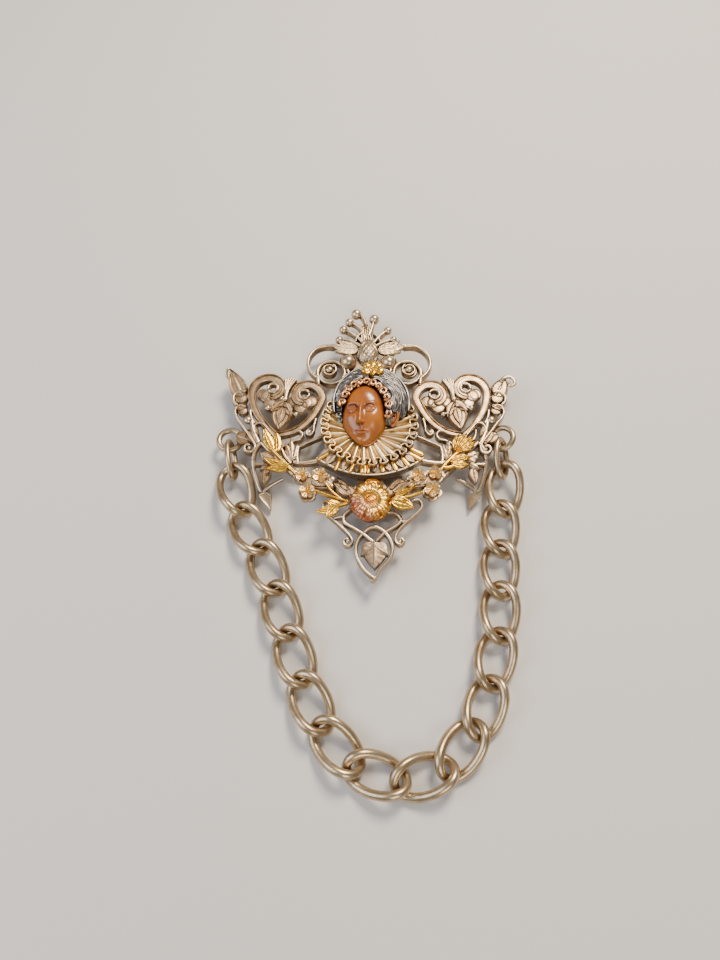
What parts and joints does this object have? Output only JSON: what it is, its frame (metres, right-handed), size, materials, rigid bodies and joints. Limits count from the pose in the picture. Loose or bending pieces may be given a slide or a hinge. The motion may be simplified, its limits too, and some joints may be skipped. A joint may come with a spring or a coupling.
{
  "type": "cameo brooch",
  "caption": "Openwork silver brooch with a carved stone face in a pleated ruff, gilt flowers and leaf sprays, and a heavy dress chain draped from its wings.",
  "frame": {"origin": "middle of the whole outline, chain included, on the surface that the brooch lies on", "axes": "+Z is the front of the brooch, facing up; +Y is its top, where the pinecone crest stands; +X is its right as seen from the front"},
  "size_m": [0.0632, 0.1016, 0.0125],
  "materials": {
    "tarnished_silver": "cast and chased, warm tarnish in the hollows",
    "dark_silver": "oxidised, rubbed bright on high edges",
    "gilt_silver": "worn gilding over silver, satin",
    "gold": "fire gilt, satin with bright edges",
    "copper_gold": "rose gold, satin",
    "petal_silver": "pale gilt silver, satin",
    "carved_stone": "carved amber-brown stone, polished",
    "chain_metal": "drawn wire with brown tarnish, rubbed bright outside",
    "pin_metal": "plain, dull"
  },
  "bodies": {
    "root": {"frame": "tarnished_silver", "bust_plate": "dark_silver", "ruff": "gilt_silver", "hair": "dark_silver", "face": "carved_stone", "coronet": "gold", "swag_branch": "tarnished_silver", "flower_1": "petal_silver", "flower_2": "petal_silver", "flower_3": "petal_silver", "flower_4": "petal_silver", "flower_5": "petal_silver", "flower_6": "petal_silver", "rose": "copper_gold", "leaf_spray_left": "gold", "leaf_spray_right": "gold", "leaf_sprig_left": "gold", "leaf_sprig_right": "gold", "pin": "pin_metal", "end_link_left": "chain_metal", "end_link_right": "chain_metal", "chain_link_01": "chain_metal", "chain_link_02": "chain_metal", "chain_link_03": "chain_metal", "chain_link_04": "chain_metal", "chain_link_05": "chain_metal", "chain_link_06": "chain_metal", "chain_link_07": "chain_metal", "chain_link_08": "chain_metal", "chain_link_09": "chain_metal", "chain_link_10": "chain_metal", "chain_link_11": "chain_metal", "chain_link_12": "chain_metal", "chain_link_13": "chain_metal", "chain_link_14": "chain_metal", "chain_link_15": "chain_metal", "chain_link_16": "chain_metal"}
  },
  "joints": []
}
